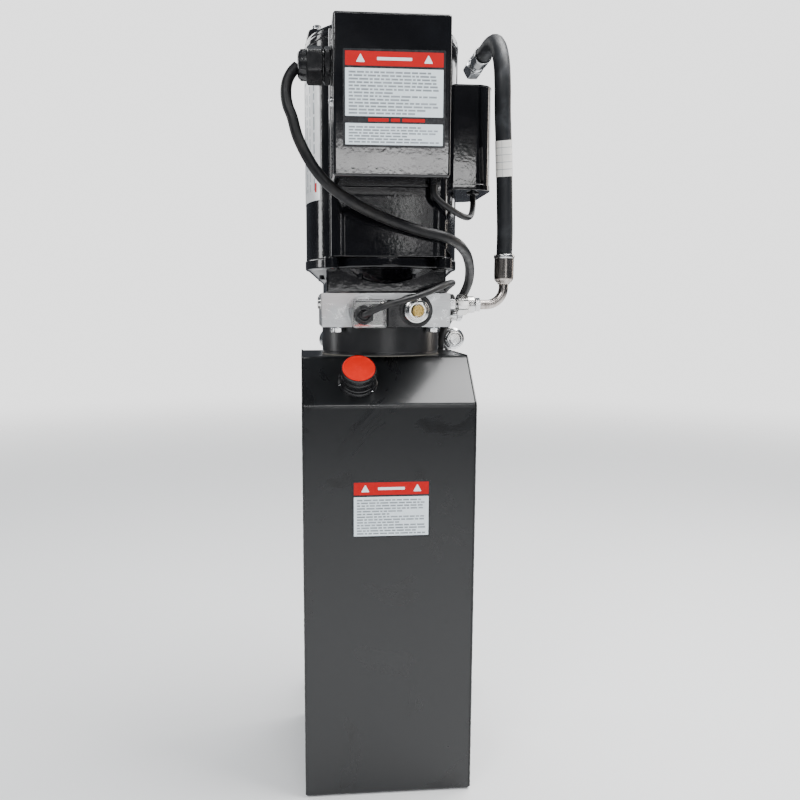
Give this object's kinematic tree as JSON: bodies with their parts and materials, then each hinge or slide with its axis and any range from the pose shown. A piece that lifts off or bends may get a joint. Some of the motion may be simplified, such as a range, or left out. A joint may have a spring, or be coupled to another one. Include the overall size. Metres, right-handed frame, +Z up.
{
  "type": "hydraulic power unit",
  "caption": "Electric motor and gear pump on a tall black oil tank, with an aluminium valve block, solenoid valve, junction box, pressure hose and mains cable.",
  "frame": {"origin": "middle of the tank's flat bottom face", "axes": "+Z up along the motor axis, -Y towards the front of the tank and the junction box, +X to the right seen from the front"},
  "size_m": [0.2355, 0.3193, 0.7866],
  "materials": {
    "tank_paint": "semi-gloss black powder coat",
    "gloss_paint": "gloss black enamel",
    "adapter_paint": "satin black paint",
    "zinc_steel": "bright zinc plate",
    "aluminium_block": "milled and handled aluminium",
    "cast_alu": "as-cast aluminium",
    "brass_knob": "knurled brass",
    "black_plastic": "moulded nylon",
    "red_plastic": "fine-grained red plastic",
    "smoke_plastic": "smoky clear polycarbonate",
    "hose_rubber": "smooth black hose cover",
    "cable_rubber": "soft black cable sheath",
    "signal_sheath": "thin grey-black sheath",
    "label": null,
    "gasket": "pressed fibre gasket",
    "machined_steel": "ground steel",
    "lamination": "stacked electrical steel",
    "copper_winding": "varnished copper wire",
    "grey_plastic": "light grey moulding",
    "capacitor_can": "drawn aluminium can"
  },
  "bodies": {
    "root": {"tank_shell": "tank_paint", "warning_labels": "label", "drain_plug": "zinc_steel", "tank_gasket": "gasket", "filler_neck": "black_plastic", "adapter_ring": "adapter_paint", "adapter_screws": "zinc_steel", "mounting_bracket": "adapter_paint", "wall_bolts": "zinc_steel", "valve_block": "aluminium_block", "block_bolts": "zinc_steel", "block_plugs": "aluminium_block", "relief_cartridge": "zinc_steel", "relief_spring": "machined_steel", "solenoid_tube": "zinc_steel", "solenoid_spring": "machined_steel", "solenoid_coil": "black_plastic", "coil_nut": "zinc_steel", "din_connector": "smoke_plastic", "din_gland": "black_plastic", "outlet_fitting": "zinc_steel", "hose_end_lower": "zinc_steel", "hose": "hose_rubber", "hose_end_upper": "zinc_steel", "motor_body": "gloss_paint", "end_bell": "gloss_paint", "motor_cap": "gloss_paint", "tie_bolts": "zinc_steel", "stator_core": "lamination", "windings": "copper_winding", "bearings": "machined_steel", "rating_plate": "label", "pump_body": "cast_alu", "pump_cover": "cast_alu", "suction_tube": "zinc_steel", "junction_box_base": "gloss_paint", "junction_box_cover": "gloss_paint", "cover_screws": "zinc_steel", "cable_gland": "black_plastic", "contactor": "grey_plastic", "capacitor_box": "gloss_paint", "capacitors": "capacitor_can", "motor_harness": "cable_rubber", "mains_cable": "cable_rubber", "mains_coil": "cable_rubber", "solenoid_cable": "signal_sheath", "solenoid_cable_coil": "signal_sheath"},
    "rotor_group": {"rotor": "lamination", "motor_shaft": "machined_steel", "coupling": "machined_steel", "drive_gear": "machined_steel"},
    "idler_gear": {"driven_gear": "machined_steel"},
    "filler_cap_body": {"filler_cap": "black_plastic", "filler_cap_disc": "red_plastic"},
    "relief_valve": {"relief_poppet": "machined_steel"},
    "spool": {"solenoid_spool": "machined_steel"},
    "override": {"override_knob": "brass_knob"},
    "lower_swivel": {"swivel_nut_lower": "zinc_steel"},
    "upper_swivel": {"swivel_nut_upper": "zinc_steel"},
    "carrier": {"contactor_carrier": "black_plastic"}
  },
  "joints": [
    {"name": "motor_spin", "type": "hinge", "parent": "root", "child": "rotor_group", "pos_m": [0, 0.015, 0.6], "axis": [0, 0, 1], "continuous": true},
    {"name": "idler_spin", "type": "hinge", "parent": "root", "child": "idler_gear", "pos_m": [0, 0.039, 0.43], "axis": [0, 0, 1], "continuous": true},
    {"name": "cap_turn", "type": "hinge", "parent": "root", "child": "filler_cap_body", "pos_m": [-0.03, -0.059, 0.426], "axis": [0, -0.7071, 0.7071], "range_deg": [0, 90]},
    {"name": "relief_lift", "type": "slide", "parent": "root", "child": "relief_valve", "axis": [1, 0, 0], "range_m": [0, 0.0015], "stiffness_N_per_m": 4000, "springref_m": -0.003, "deforming": ["relief_spring"]},
    {"name": "override_push", "type": "slide", "parent": "root", "child": "override", "axis": [0, 1, 0], "range_m": [0, 0.0025], "stiffness_N_per_m": 1000, "springref_m": -0.002},
    {"name": "spool_slide", "type": "slide", "parent": "root", "child": "spool", "axis": [0, 1, 0], "range_m": [0, 0.0025], "stiffness_N_per_m": 1500, "springref_m": -0.002, "deforming": ["solenoid_spring"]},
    {"name": "lower_nut_turn", "type": "hinge", "parent": "root", "child": "lower_swivel", "pos_m": [0.085, -0.025, 0.502], "axis": [1, 0, 0], "continuous": true},
    {"name": "upper_nut_turn", "type": "hinge", "parent": "root", "child": "upper_swivel", "pos_m": [0.1135, 0.08, 0.7695], "axis": [0, 1, 0], "continuous": true},
    {"name": "contactor_press", "type": "slide", "parent": "root", "child": "carrier", "axis": [0, 1, 0], "range_m": [0, 0.003], "stiffness_N_per_m": 600, "springref_m": -0.003}
  ],
  "couplings": [
    {"joint": "idler_spin", "follows": "motor_spin", "ratio": -1},
    {"joint": "spool_slide", "follows": "override_push", "ratio": 1}
  ]
}
